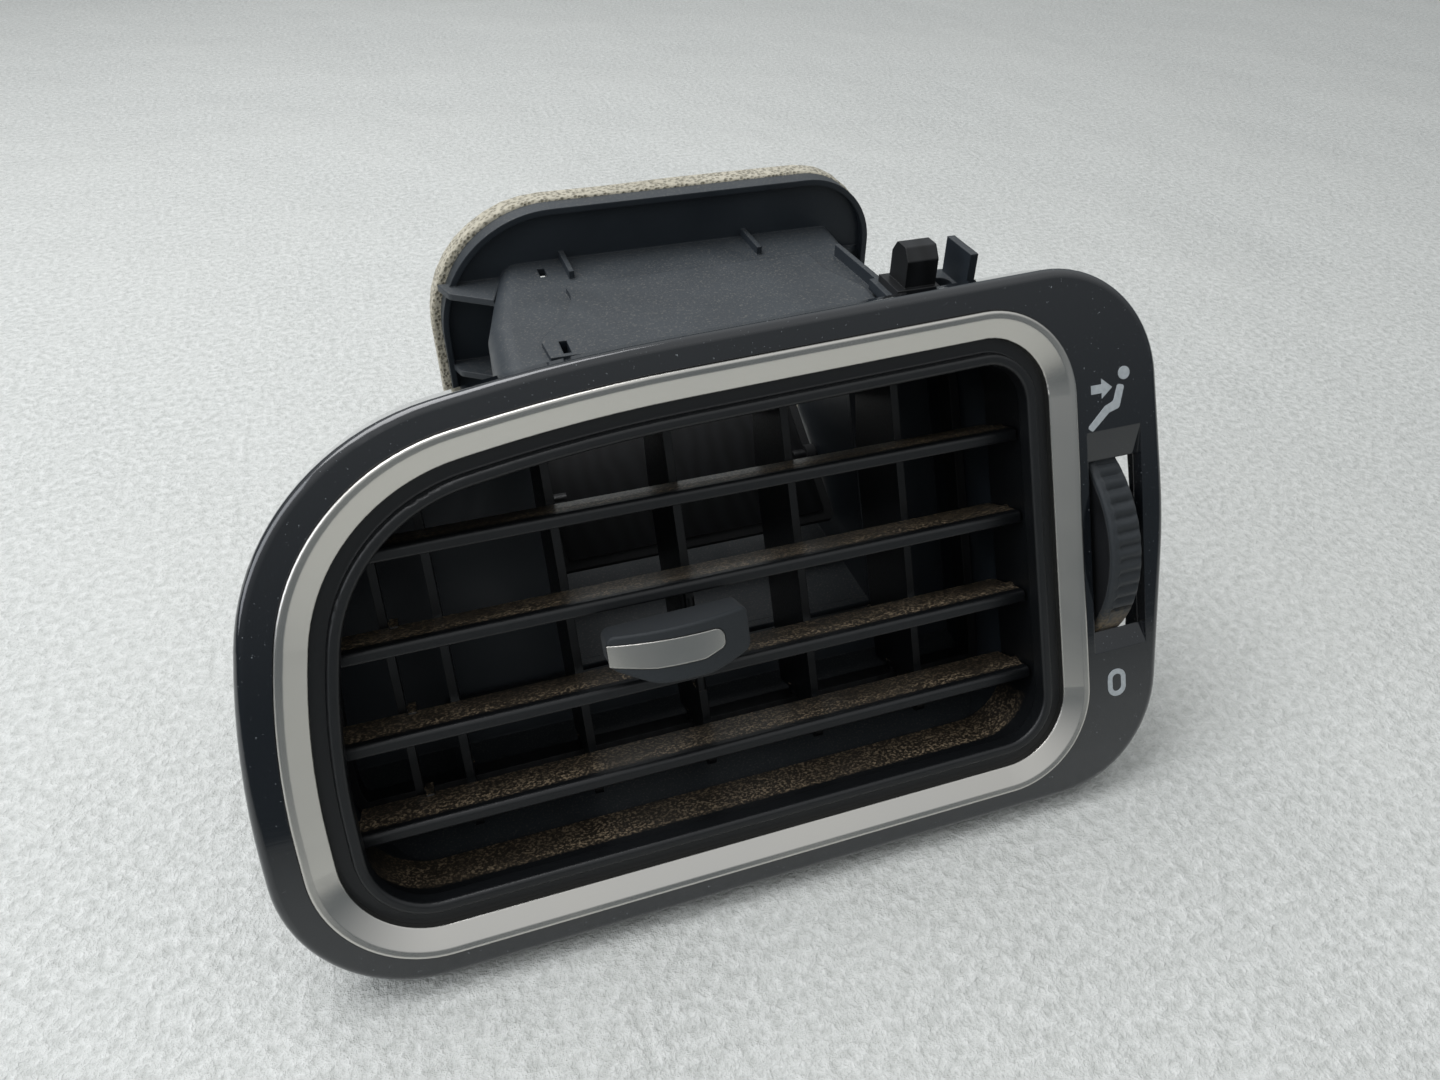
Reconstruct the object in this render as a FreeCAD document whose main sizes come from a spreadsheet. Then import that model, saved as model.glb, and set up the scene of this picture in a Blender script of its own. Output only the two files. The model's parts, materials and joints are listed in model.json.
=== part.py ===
import FreeCAD, Part
import Sketcher
import math
import os
from FreeCAD import Placement, Rotation, Vector

# Dashboard air vent: a raked face with four tilting vanes, five swinging blades behind them,
# a slider knob, and a thumbwheel that turns two shut-off flaps in the duct.
#
# Two frames are used. The duct frame has X to the right, Y along the duct towards its flange and
# Z up. The face frame shares its origin, the middle of the vane front edges, and leans back from it
# by the rake about X, so that face Y points into the vent at right angles to the bezel.
# The part stands on the lower edge of the bezel and the lower edge of the flange, at Z = 0.

SIZES = (
    # placing
    ("rake", 25.0), ("face_x", -4.947), ("face_y", -26.124), ("face_z", 42.84),
    # bezel
    ("bezel_front", -8.5), ("bezel_back", -6.0), ("bezel_rim", -0.5), ("bezel_wall", 1.8),
    ("bezel_edge", 1.6), ("slot_left", 72.5), ("slot_right", 84.0),
    # inner frame
    ("frame_back", 11.5), ("frame_plate", 1.4), ("wall_in", 6.8), ("wall_out", 5.3),
    # housing
    ("box_out", 3.5), ("box_in", 5.0), ("box_front", -4.6), ("box_back", 39.5), ("box_skin", 1.5),
    ("belly_out", -42.2), ("belly_in", -40.6),
    ("duct_left", -19.6), ("duct_right", 46.8), ("duct_floor", -30.4), ("duct_roof", 39.4),
    ("duct_skin", 1.6), ("flange_front", 72.0), ("flange_thick", 2.5), ("gasket_thick", 5.0),
    # vanes
    ("vane_pitch", 16.0), ("vane_depth", 12.0), ("vane_thick", 2.3), ("vane_right", 63.2),
    ("vane_pivot", 6.0), ("vane_pin", 1.2), ("pin_gap", 0.1), ("vane_link", 14.0),
    ("link_x", -55.7), ("link_wide", 1.5), ("link_pin", 0.9),
    # blades
    ("blade_pitch", 22.9), ("blade_front", 14.0), ("blade_back", 33.0), ("blade_pivot", 26.5),
    ("blade_thick", 1.6), ("blade_foot", -27.2), ("blade_pin", 1.2),
    ("rail_thick", 1.8), ("rail_foot", -28.0), ("blade_link", 35.0),
    ("blade_link_z", -17.8), ("rod_y", 15.0), ("rod_radius", 1.0),
    # knob
    ("knob_left", -20.0), ("knob_right", 4.6), ("knob_front", -9.8), ("knob_back", -1.5),
    # thumbwheel
    ("wheel_y", 10.5), ("wheel_z", 1.0), ("wheel_radius", 23.7), ("wheel_left", 73.6),
    ("wheel_width", 6.3), ("tread_thick", 0.9), ("axle_radius", 1.95), ("wheel_crank", 9.0),
    ("wheel_pin", 1.4), ("rib_step", 6.6),
    # shut-off
    ("flap_y", 62.5), ("flap_chord", 33.8), ("flap_thick", 2.0), ("flap_shaft", 2.0),
    ("flap_crank", 6.0), ("flap_pin", 1.3), ("flap_side_gap", 0.5), ("flap_rest", 30.0),
)

doc = FreeCAD.newDocument("dashboard_air_vent")
sheet = doc.addObject("Spreadsheet::Sheet", "dims")
for row, (alias, size) in enumerate(SIZES, start=1):
    sheet.set(f"A{row}", alias)
    sheet.set(f"B{row}", str(size))
    sheet.setAlias(f"B{row}", alias)
doc.recompute()
size_of = dict(SIZES)
NODES = []


# ---------------------------------------------------------------- helpers

def bind(thing, **expressions):
    """Ties properties to cells; a double underscore stands for the dot in a property's path."""
    for name, expression in expressions.items():
        thing.setExpression(name.replace("__", "."), expression)


def place(thing, frame, turn=0.0):
    """Puts an object in the face frame or the duct frame, turned by so many degrees about X."""
    lean = f"{turn} - dims.rake" if frame == "face" else f"{turn}"
    angle = turn - size_of["rake"] if frame == "face" else turn
    thing.Placement = Placement(Vector(), Rotation(Vector(1, 0, 0), 1.0))
    bind(thing, Placement__Base__x="dims.face_x", Placement__Base__y="dims.face_y",
         Placement__Base__z="dims.face_z")
    if angle == 0.0:
        thing.Placement = Placement(thing.Placement.Base, Rotation())
    else:
        bind(thing, Placement__Rotation__Angle=lean)


def rounded_path(corners):
    """Lines and tangent arcs round a closed outline of (u, v, radius) corners, starting mid-way
    along the side that ends at the first corner."""
    points = [Vector(u, v, 0) for u, v, _ in corners]
    count = len(points)
    entries, exits, middles = [], [], []
    for index, (corner, (_, _, radius)) in enumerate(zip(points, corners)):
        before = (points[index - 1] - corner).normalize()
        after = (points[(index + 1) % count] - corner).normalize()
        half = before.getAngle(after) / 2.0
        reach = radius / math.tan(half)
        entries.append(corner + before * reach)
        exits.append(corner + after * reach)
        bisector = before + after
        if radius:
            bisector.normalize()
        middles.append(corner + bisector * (radius / math.sin(half) - radius))
    start = (exits[-1] + entries[0]) * 0.5
    pieces = []
    here = start
    for index in range(count):
        pieces.append(Part.LineSegment(here, entries[index]))
        here = exits[index]
        if corners[index][2]:
            pieces.append(Part.Arc(entries[index], middles[index], here))
    pieces.append(Part.LineSegment(here, start))
    return pieces


def inset_corners(corners, distance):
    """The same outline moved inwards by a distance, its arcs kept concentric."""
    points = [Vector(u, v, 0) for u, v, _ in corners]
    count = len(points)
    turns = sum((points[(index + 1) % count] - points[index]).cross(points[index]).z
                for index in range(count))
    inward = -1.0 if turns > 0 else 1.0
    moved = []
    for index, (corner, (_, _, radius)) in enumerate(zip(points, corners)):
        before = (points[index - 1] - corner).normalize()
        after = (points[(index + 1) % count] - corner).normalize()
        half = before.getAngle(after) / 2.0
        bisector = (before + after).normalize()
        side = 1.0 if after.cross(before).z * inward > 0 else -1.0
        corner = corner + bisector * (side * distance / math.sin(half))
        moved.append((corner.x, corner.y, max(radius - side * distance, 0.0)))
    return moved


def fill_sketch(sketch, loops):
    """Draws loops: ("round", corners), ("circle", u, v, radius cell or expression),
    ("arcs", pieces)."""
    for loop in loops:
        if loop[0] == "round":
            for piece in rounded_path(loop[1]):
                sketch.addGeometry(piece, False)
        elif loop[0] == "arcs":
            for piece in loop[1]:
                sketch.addGeometry(piece, False)
        else:
            _, u, v, radius = loop
            start = 1.0
            ring = sketch.addGeometry(Part.Circle(Vector(u, v, 0), Vector(0, 0, 1), start), False)
            index = sketch.addConstraint(Sketcher.Constraint("Radius", ring, start))
            sketch.setExpression(f"Constraints[{index}]", radius)


def outline(name, frame, loops):
    """A free sketch in the X-Z plane of a frame."""
    sketch = doc.addObject("Sketcher::SketchObject", name)
    fill_sketch(sketch, loops)
    place(sketch, frame, 90.0)
    return sketch


def slab(name, frame, corners, inset, near, far):
    """The solid inside an outline, inset from it, between two depths along Y."""
    base = outline(name + "_outline", frame, [("round", inset_corners(corners, inset))])
    solid = doc.addObject("Part::Extrusion", name)
    solid.Base = base
    solid.DirMode = "Normal"
    solid.Reversed = True
    solid.Solid = True
    bind(solid, LengthFwd=far, LengthRev=f"-({near})")
    return solid


def block(name, frame, low, high):
    """A box between two corners, each a tuple of three expressions."""
    box = doc.addObject("Part::Box", name)
    for side, start, end in zip(("Length", "Width", "Height"), low, high):
        bind(box, **{side: f"({end}) - ({start})"})
    anchor = doc.addObject("Part::Compound", name + "_set")
    for axis, start in zip("xyz", low):
        box.setExpression(f"Placement.Base.{axis}", start)
    anchor.Links = [box]
    place(anchor, frame)
    return anchor


def rod(name, frame, radius, start, length, axis="x"):
    """A cylinder along an axis of a frame, from a start point of three expressions."""
    turn = {"x": Rotation(Vector(0, 1, 0), 90), "y": Rotation(Vector(1, 0, 0), -90),
            "z": Rotation()}[axis]
    cylinder = doc.addObject("Part::Cylinder", name)
    cylinder.Placement = Placement(Vector(), turn)
    bind(cylinder, Radius=radius, Height=length)
    for letter, value in zip("xyz", start):
        cylinder.setExpression(f"Placement.Base.{letter}", value)
    anchor = doc.addObject("Part::Compound", name + "_set")
    anchor.Links = [cylinder]
    place(anchor, frame)
    return anchor


def join(name, *shapes):
    """Fuses several objects."""
    result = doc.addObject("Part::MultiFuse", name)
    result.Shapes = list(shapes)
    return result


def pair(kind, name, base, tool):
    result = doc.addObject("Part::" + kind, name)
    result.Base = base
    result.Tool = tool
    return result


def cut(name, base, tool):
    return pair("Cut", name, base, tool)


def common(name, base, *tools):
    """What several objects have in common."""
    for number, tool in enumerate(tools, start=1):
        last = number == len(tools)
        base = pair("Common", name if last else f"{name}_{number}", base, tool)
    return base


def keep(thing, label):
    """Names an object as a sub-part of the vent."""
    thing.Label = label
    NODES.append(thing)
    return thing


def swept(name, spine, section, frame="face"):
    """A closed ring: a section in the Y-Z plane carried round an outline. The section stands at
    the middle of the outline's lower side, where the outline starts."""
    profile = doc.addObject("Sketcher::SketchObject", name + "_section")
    fill_sketch(profile, [("round", section)])
    profile.Placement = Placement(Vector(), Rotation(Vector(1, 1, 1), 120))
    holder = doc.addObject("Part::Compound", name + "_section_set")
    holder.Links = [profile]
    place(holder, frame)
    sweep = doc.addObject("Part::Sweep", name)
    sweep.Sections = [holder]
    sweep.Spine = (spine, [f"Edge{number + 1}" for number in range(len(spine.Shape.Edges))])
    sweep.Solid = True
    sweep.Frenet = False
    return sweep


def new_body(label, frame):
    body = doc.addObject("PartDesign::Body", label)
    place(body, frame)
    return keep(body, label)


PLANE_TURNS = {"YZ_Plane": 1.0, "XZ_Plane": -1.0, "XY_Plane": 1.0}


def feature(body, kind, name, plane, start, length, loops):
    """A pad or pocket of a sketch drawn on an origin plane moved to `start`; it runs `length`
    along +X, +Y or +Z for its plane. Sketch axes are (Y, Z), (X, Z) and (X, Y)."""
    sketch = body.newObject("Sketcher::SketchObject", f"{body.Name}_{name}_sketch")
    origin = [item for item in body.Origin.OriginFeatures if item.Role == plane][0]
    sketch.AttachmentSupport = [(origin, "")]
    sketch.MapMode = "FlatFace"
    sign = PLANE_TURNS[plane]
    sketch.setExpression("AttachmentOffset.Base.z", f"{sign} * ({start})")
    fill_sketch(sketch, loops)
    doc.recompute()
    made = body.newObject("PartDesign::" + kind, f"{body.Name}_{name}")
    made.Profile = sketch
    made.setExpression("Length", length)
    along = sign > 0
    made.Reversed = (not along) if kind == "Pad" else along
    return made


def pad(body, name, plane, start, length, loops):
    return feature(body, "Pad", name, plane, start, length, loops)


def pocket(body, name, plane, start, length, loops):
    doc.recompute()
    before = body.Shape.Volume
    made = feature(body, "Pocket", name, plane, start, length, loops)
    doc.recompute()
    if body.Shape.Volume > before - 1e-6:
        raise RuntimeError(f"{made.Name} cuts nothing")
    return made


def rectangle(u_low, v_low, u_high, v_high, radius=0.0):
    return [(u_low, v_low, radius), (u_high, v_low, radius), (u_high, v_high, radius),
            (u_low, v_high, radius)]


def eye_bar(first, second, half):
    """A bar with round ends about two points."""
    start = Vector(first[0], first[1], 0)
    end = Vector(second[0], second[1], 0)
    along = (end - start).normalize()
    side = Vector(-along.y, along.x, 0) * half
    return [Part.LineSegment(start - side, end - side),
            Part.Arc(end - side, end + along * half, end + side),
            Part.LineSegment(end + side, start + side),
            Part.Arc(start + side, start - along * half, start - side)]


def sector(centre, inner, outer, first, last):
    """The outline of part of a ring, between two angles in degrees."""
    def at(radius, degrees):
        angle = math.radians(degrees)
        return Vector(centre[0] + radius * math.cos(angle), centre[1] + radius * math.sin(angle), 0)
    middle = (first + last) / 2.0
    return [Part.Arc(at(outer, first), at(outer, middle), at(outer, last)),
            Part.LineSegment(at(outer, last), at(inner, last)),
            Part.Arc(at(inner, last), at(inner, middle), at(inner, first)),
            Part.LineSegment(at(inner, first), at(outer, first))]


# ---------------------------------------------------------------- outlines of the face

RING_CORNERS = [(70.9, -43.4, 18), (70.4, 48.6, 17), (-18.6, 45.9, 300), (-63.5, 39.1, 38),
                (-73.7, -1.5, 130), (-73.4, -43.4, 20)]
BEZEL_CORNERS = [(84.8, -47.5, 22), (89.3, 5.0, 120), (87.2, 54.2, 22), (-20.0, 50.6, 300),
                 (-68.7, 43.3, 42), (-79.3, -2.0, 150), (-79.0, -47.5, 24)]
RING_LOW = RING_CORNERS[0][1]
ring_outline = outline("ring_outline", "face", [("round", RING_CORNERS)])
doc.recompute()
SPINE_START = (RING_CORNERS[0][0] + RING_CORNERS[-1][0]) / 2.0


def ring_section(corners):
    """Turns (depth, distance in from the ring outline, radius) corners into a sweep section."""
    return [(depth, RING_LOW + inward, radius) for depth, inward, radius in corners]


# ---------------------------------------------------------------- bezel, ring and inner frame

SLOT_LOW, SLOT_HIGH = -20.8, 24.0


def make_bezel():
    """Gloss cover: a plate with a rim, the ring opening, and a thumbwheel slot whose ends are
    shallow finger ramps."""
    shell = slab("bezel_shell", "face", BEZEL_CORNERS, 0.0, "dims.bezel_front", "dims.bezel_rim")
    doc.recompute()
    rounded = doc.addObject("Part::Fillet", "bezel_rounded")
    rounded.Base = shell
    radius = size_of["bezel_edge"]
    inverse = shell.Shape.Placement.inverse()
    frame = Placement(Vector(size_of["face_x"], size_of["face_y"], size_of["face_z"]),
                      Rotation(Vector(1, 0, 0), -size_of["rake"])).inverse()
    front = [number for number, edge in enumerate(shell.Shape.Edges, start=1)
             if all(abs(frame.multVec(vertex.Point).y - size_of["bezel_front"]) < 0.01
                    for vertex in edge.Vertexes)]
    rounded.Edges = [(number, radius, radius) for number in front]
    hollow = slab("bezel_hollow", "face", BEZEL_CORNERS, size_of["bezel_wall"],
                  "dims.bezel_back", "dims.bezel_rim + 1")
    opening = slab("bezel_opening", "face", RING_CORNERS, 0.0, "dims.bezel_front - 1",
                   "dims.bezel_back + 1")
    slot = doc.addObject("Sketcher::SketchObject", "slot_side")
    front_y, ramp_y, back_y = -9.0, -7.3, -5.5
    side = [(front_y, SLOT_LOW - 0.5, 0), (ramp_y, -15.7, 0), (back_y, -17.8, 0),
            (back_y, 19.9, 0), (ramp_y, 17.8, 0), (front_y, SLOT_HIGH + 2.0, 0)]
    fill_sketch(slot, [("round", side)])
    slot.Placement = Placement(Vector(), Rotation(Vector(1, 1, 1), 120))
    slot.setExpression("Placement.Base.x", "dims.slot_left")
    channel = doc.addObject("Part::Extrusion", "slot_channel")
    channel.Base = slot
    channel.DirMode = "Normal"
    channel.Solid = True
    bind(channel, LengthFwd="dims.slot_right - dims.slot_left")
    channel_set = doc.addObject("Part::Compound", "slot_channel_set")
    channel_set.Links = [channel]
    place(channel_set, "face")
    posts = [rod(f"bezel_post_{index}", "face", "3", ("78", "dims.bezel_back - 0.5", height),
                 "4.5", "y") for index, height in enumerate(("37", "-33"))]
    holes = [rod(f"bezel_post_hole_{index}", "face", "1.2", ("78", "dims.bezel_back + 0.6", height),
                 "6", "y") for index, height in enumerate(("37", "-33"))]
    solid = cut("bezel_cut_1", rounded, hollow)
    solid = join("bezel_with_posts", solid, *posts)
    tools = join("bezel_tools", opening, channel_set, *holes)
    keep(cut("front_bezel", solid, tools), "front_bezel")


def make_ring():
    """Satin ring: a narrow crest along its outer edge and a broad slope down to its inner edge."""
    section = ring_section([(-6.0, 0.1, 0), (-9.25, 0.1, 0.5), (-9.1, 1.5, 0.5), (-7.4, 4.9, 0.3),
                            (-6.0, 4.9, 0)])
    keep(swept("trim_ring", ring_outline, section), "trim_ring")


def make_vane_frame():
    """Inner frame: a plate under the ring, a raised bead round the opening, and a wall that
    carries the vane pivots."""
    front, back = size_of["bezel_back"], size_of["frame_back"]
    behind = front + size_of["frame_plate"]
    inner, outer = size_of["wall_in"], size_of["wall_out"]
    section = ring_section([(front, -1.5, 0), (front, 7.4, 0.4), (-8.0, 7.6, 0.6),
                            (-8.0, 9.5, 0.7), (behind, 9.5, 0.3), (behind, inner, 0),
                            (back, inner, 0), (back, outer, 0), (behind, outer, 0),
                            (behind, -1.5, 0)])
    wall = swept("vane_frame_wall", ring_outline, section)
    pin_hole = "dims.vane_pin + dims.pin_gap"
    holes = []
    for number in range(4):
        height = f"dims.vane_pitch * {1.5 - number}"
        holes.append(rod(f"frame_hole_{number}", "face", pin_hole,
                         ("-72", "dims.vane_pivot", height), "140"))
    keep(cut("vane_frame", wall, join("frame_holes", *holes)), "vane_frame")


def make_marks():
    """Printed marks on the band: a seated figure with an arrow, and a zero."""
    body_front = "dims.bezel_front - 0.15"
    depth = "0.15"
    figure = [(72.6, 24.4, 0.4), (73.6, 23.6, 0.4), (77.2, 26.6, 0.6), (79.4, 27.2, 0.8),
              (80.6, 31.2, 0.5), (79.2, 31.6, 0.5), (78.2, 28.6, 0.6), (76.4, 27.9, 0.6)]
    arrow = [(73.6, 30.4, 0), (75.8, 30.4, 0), (75.8, 29.4, 0), (78.0, 31.2, 0),
             (75.8, 33.0, 0), (75.8, 32.0, 0), (73.6, 32.0, 0)]
    body = new_body("band_marks", "face")
    body.AllowCompound = True
    pad(body, "figure", "XZ_Plane", body_front, depth, [("round", figure)])
    pad(body, "arrow", "XZ_Plane", body_front, depth, [("round", arrow)])
    pad(body, "head", "XZ_Plane", body_front, depth, [("circle", 80.6, 33.4, "1.2")])
    zero = rectangle(75.0, -29.3, 79.0, -23.7, 1.9)
    hollow = rectangle(76.0, -28.3, 78.0, -24.7, 0.95)
    pad(body, "zero", "XZ_Plane", body_front, depth, [("round", zero), ("round", hollow)])


# ---------------------------------------------------------------- housing

FLANGE_CORNERS = [(59.0, -42.84, 14), (59.0, 51.0, 15), (-34.0, 51.0, 24), (-34.0, -42.84, 16)]
GASKET_CORNERS = [(59.6, -42.84, 14), (59.6, 51.6, 15.5), (-36.0, 51.6, 25), (-36.0, -42.84, 17)]


def plan_slab(name, corners, low, high, frame="duct", pieces=None):
    """The solid over a plan outline between two heights of a frame."""
    sketch = doc.addObject("Sketcher::SketchObject", name + "_plan")
    fill_sketch(sketch, [("arcs", pieces) if pieces else ("round", corners)])
    sketch.setExpression("Placement.Base.z", low)
    solid = doc.addObject("Part::Extrusion", name)
    solid.Base = sketch
    solid.DirMode = "Normal"
    solid.Solid = True
    bind(solid, LengthFwd=f"({high}) - ({low})")
    anchor = doc.addObject("Part::Compound", name + "_set")
    anchor.Links = [solid]
    place(anchor, frame)
    return anchor


def make_housing():
    """Two mouldings: the vane box behind the bezel, and the duct with its flange, ribs and lug."""
    far = ("-100", "-60", "100", "120")
    box_outer = slab("box_outer", "face", RING_CORNERS, size_of["box_out"], "dims.box_front",
                     "dims.box_back")
    box_inner = slab("box_inner", "face", RING_CORNERS, size_of["box_in"], "dims.box_front - 1",
                     "dims.box_back - dims.box_skin")
    above_out = block("above_belly_out", "duct", (far[0], far[1], "dims.belly_out"),
                      (far[2], far[3], "90"))
    above_in = block("above_belly_in", "duct", (far[0], far[1], "dims.belly_in"),
                     (far[2], far[3], "90"))
    box_outer_trimmed = common("box_outside", box_outer, above_out)
    inner_box = common("box_inside", box_inner, above_in)
    flange_back = size_of["flange_front"] + size_of["flange_thick"]
    plan = [(48.4, 12.0, 0), (48.4, 48.0, 0), (50.4, flange_back, 0), (-21.3, flange_back, 0),
            (-27.5, 48.0, 0), (-29.5, 12.0, 0)]
    duct_outer = plan_slab("duct_outer", plan, "dims.duct_floor - dims.duct_skin",
                           "dims.duct_roof + dims.duct_skin - 1")
    doc.recompute()
    duct_round = doc.addObject("Part::Fillet", "duct_round")
    duct_round.Base = duct_outer
    top = duct_outer.Shape.BoundBox.ZMax
    long_edges = []
    for number, edge in enumerate(duct_outer.Shape.Edges, start=1):
        box = edge.BoundBox
        if abs(box.ZMin - top) < 0.01 and box.YLength > 20.0:
            if box.Center.x < 0.0:
                long_edges.append((number, 4.5, 4.5))
            else:
                long_edges.append((number, 2.0, 2.0))
    duct_round.Edges = long_edges
    behind_face = block("behind_face", "face", (far[0], "0.5", "-90"), (far[2], "140", "90"))
    behind_face_in = block("behind_face_in", "face", (far[0], "2.2", "-90"), (far[2], "140", "90"))
    duct_shell = common("duct_outside", duct_round, behind_face)
    duct_bore = block("duct_bore", "duct",
                      ("dims.duct_left", "10", "dims.duct_floor"),
                      ("dims.duct_right", "dims.flange_front + dims.flange_thick + 1",
                       "dims.duct_roof - 1"))
    duct_inside = common("duct_inside", duct_bore, behind_face_in)
    flange = slab("flange", "duct", FLANGE_CORNERS, 0.0, "dims.flange_front",
                  "dims.flange_front + dims.flange_thick")
    # roof panel, raised between the S-shaped step on the left and the rib on the right
    panel = plan_slab("roof_panel", [(-19.0, 30.0, 0), (-19.5, 37.0, 3), (-13.6, 44.5, 12),
                                     (-10.6, 52.0, 10), (-11.0, 57.6, 1.5), (39.4, 57.6, 1),
                                     (39.6, 50.0, 6), (43.6, 40.0, 4), (43.6, 30.0, 0)],
                      "dims.duct_roof", "dims.duct_roof + dims.duct_skin")
    rib = plan_slab("roof_rib", [(45.9, 57.0, 0.3), (44.9, 57.0, 0.3), (46.2, 32.0, 0),
                                 (47.4, 32.0, 0)], "dims.duct_roof - 0.4", "dims.duct_roof + 3")
    gussets = []
    for index, height in enumerate((36.4, 19.4)):
        gussets.append(plan_slab(f"gusset_{index}", [(-33.6, 72.2, 0), (-32.0, 67.5, 2),
                                                     (-24.0, 62.0, 0), (-21.0, 72.2, 0)],
                                 f"{height}", f"{height} + 1.3"))
    flange_rim = slab("flange_rim_out", "duct", FLANGE_CORNERS, 0.0, "dims.flange_front - 1.6",
                      "dims.flange_front")
    rim_hole = slab("flange_rim_in", "duct", FLANGE_CORNERS, 1.2, "dims.flange_front - 3",
                    "dims.flange_front + 1")
    rim = cut("flange_rim", flange_rim, rim_hole)
    slats = [block(f"rear_rib_{index}", "duct", (f"{across}", "62", "dims.duct_roof - 0.4"),
                   (f"{across + 1.0}", "72.2", "dims.duct_roof + 2.2"))
             for index, across in enumerate((-9.0, 30.0))]
    roof_slots = [block("roof_slot_0", "duct", ("-14.2", "64.5", "37"), ("-12.8", "68.5", "42")),
                  block("roof_slot_1", "duct", ("-16.6", "31", "37"), ("-15.2", "35.5", "43"))]
    stay = plan_slab("right_stay", [(48.0, 66.0, 0), (51.5, 68.0, 1.5), (57.5, 72.2, 0),
                                    (48.0, 72.2, 0)], "33.5", "34.8")
    # fixing lug beside the roof, behind the upper right of the bezel
    lug_floor = plan_slab("lug_floor", [(44.0, 26.0, 0), (60.4, 27.5, 1.5), (60.4, 38.5, 1.5),
                                        (44.0, 38.5, 0)], "41", "43")
    lug_web = block("lug_web", "duct", ("46.6", "27.5", "36"), ("48.2", "38", "41.5"))
    lug_wall = block("lug_wall", "duct", ("58.9", "28.5", "42.8"), ("60.4", "37.5", "50"))
    lug_hole = rod("lug_hole", "duct", "2.1", ("56.2", "33", "40"), "4", "z")
    ears = []
    ear_holes = []
    for index, height in enumerate((37.0, -33.0)):
        ears.append(block(f"ear_{index}", "face", ("61.5", "-1.9", f"{height - 3.5}"),
                          ("81.5", "0.1", f"{height + 3.5}")))
        ear_holes.append(rod(f"ear_hole_{index}", "face", "1.55", ("78", "-3", f"{height}"),
                             "4", "y"))
    boss = rod("axle_boss", "face", "3.5", ("66.2", "dims.wheel_y", "dims.wheel_z"), "7.0")
    boss_hole = rod("axle_boss_hole", "face", "dims.axle_radius",
                    ("68.5", "dims.wheel_y", "dims.wheel_z"), "8")
    box_solid = join("vane_box_outside", box_outer_trimmed, boss, *ears)
    box_tools = join("vane_box_tools", inner_box, duct_inside, boss_hole, *ear_holes)
    keep(cut("vane_box", box_solid, box_tools), "vane_box")

    details = [panel, rib, lug_floor, lug_web, lug_wall, stay, rim, *gussets, *slats]
    shaft_holes = []
    for index, level in enumerate(FLAP_LEVELS):
        shaft_holes.append(rod(f"shaft_hole_{index}", "duct", "dims.flap_shaft + dims.pin_gap",
                               ("-22.5", "dims.flap_y", f"{level}"), "75"))
    duct_solid = join("duct_body_outside", duct_shell, flange, *details)
    duct_tools = join("duct_body_tools", box_outer_trimmed, inner_box, duct_inside, lug_hole,
                      *shaft_holes, *roof_slots)
    keep(cut("duct_body", duct_solid, duct_tools), "duct_body")

    pad_outer = slab("gasket_outer", "duct", GASKET_CORNERS, 0.0,
                     "dims.flange_front + dims.flange_thick",
                     "dims.flange_front + dims.flange_thick + dims.gasket_thick")
    gasket_bore = block("gasket_bore", "duct",
                        ("dims.duct_left - 0.6", "70", "dims.duct_floor - 0.6"),
                        ("dims.duct_right + 0.6", "90", "dims.duct_roof - 0.4"))
    keep(cut("flange_gasket", pad_outer, gasket_bore), "flange_gasket")


def make_clip_and_screws():
    """Spring clip on the fixing lug, and the two screws that hold the band to the housing."""
    clip = new_body("retaining_clip", "duct")
    cap = [(30.0, 43.0, 0), (30.0, 49.4, 0.6), (31.6, 51.6, 0.5), (34.8, 51.6, 0.5),
           (36.4, 49.4, 0.6), (36.4, 43.0, 0)]
    pad(clip, "cap", "YZ_Plane", "47", "6.2", [("round", cap)])
    pad(clip, "foot", "YZ_Plane", "45.2", "8.6", [("round", rectangle(29.2, 43.0, 37.2, 44.4, 0.2))])

    screws = new_body("band_screws", "face")
    screws.AllowCompound = True
    for index, height in enumerate((37.0, -33.0)):
        pad(screws, f"shank_{index}", "XZ_Plane", "-5.2", "5.3", [("circle", 78, height, "1.15")])
        pad(screws, f"head_{index}", "XZ_Plane", "0.1", "1.8", [("circle", 78, height, "2.8")])
        pocket(screws, f"recess_{index}", "XZ_Plane", "0.9", "1.1",
               [("round", rectangle(77.6, height - 1.7, 78.4, height + 1.7))])


# ---------------------------------------------------------------- vanes

# left end of each vane's plate and of its pivot pin, from the top vane down
VANE_LEFT_ENDS = ((-54.6, -58.7), (-62.9, -65.6), (-65.3, -67.8), (-65.2, -67.8))


def vane_height(number):
    return size_of["vane_pitch"] * (1.5 - number)


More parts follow.
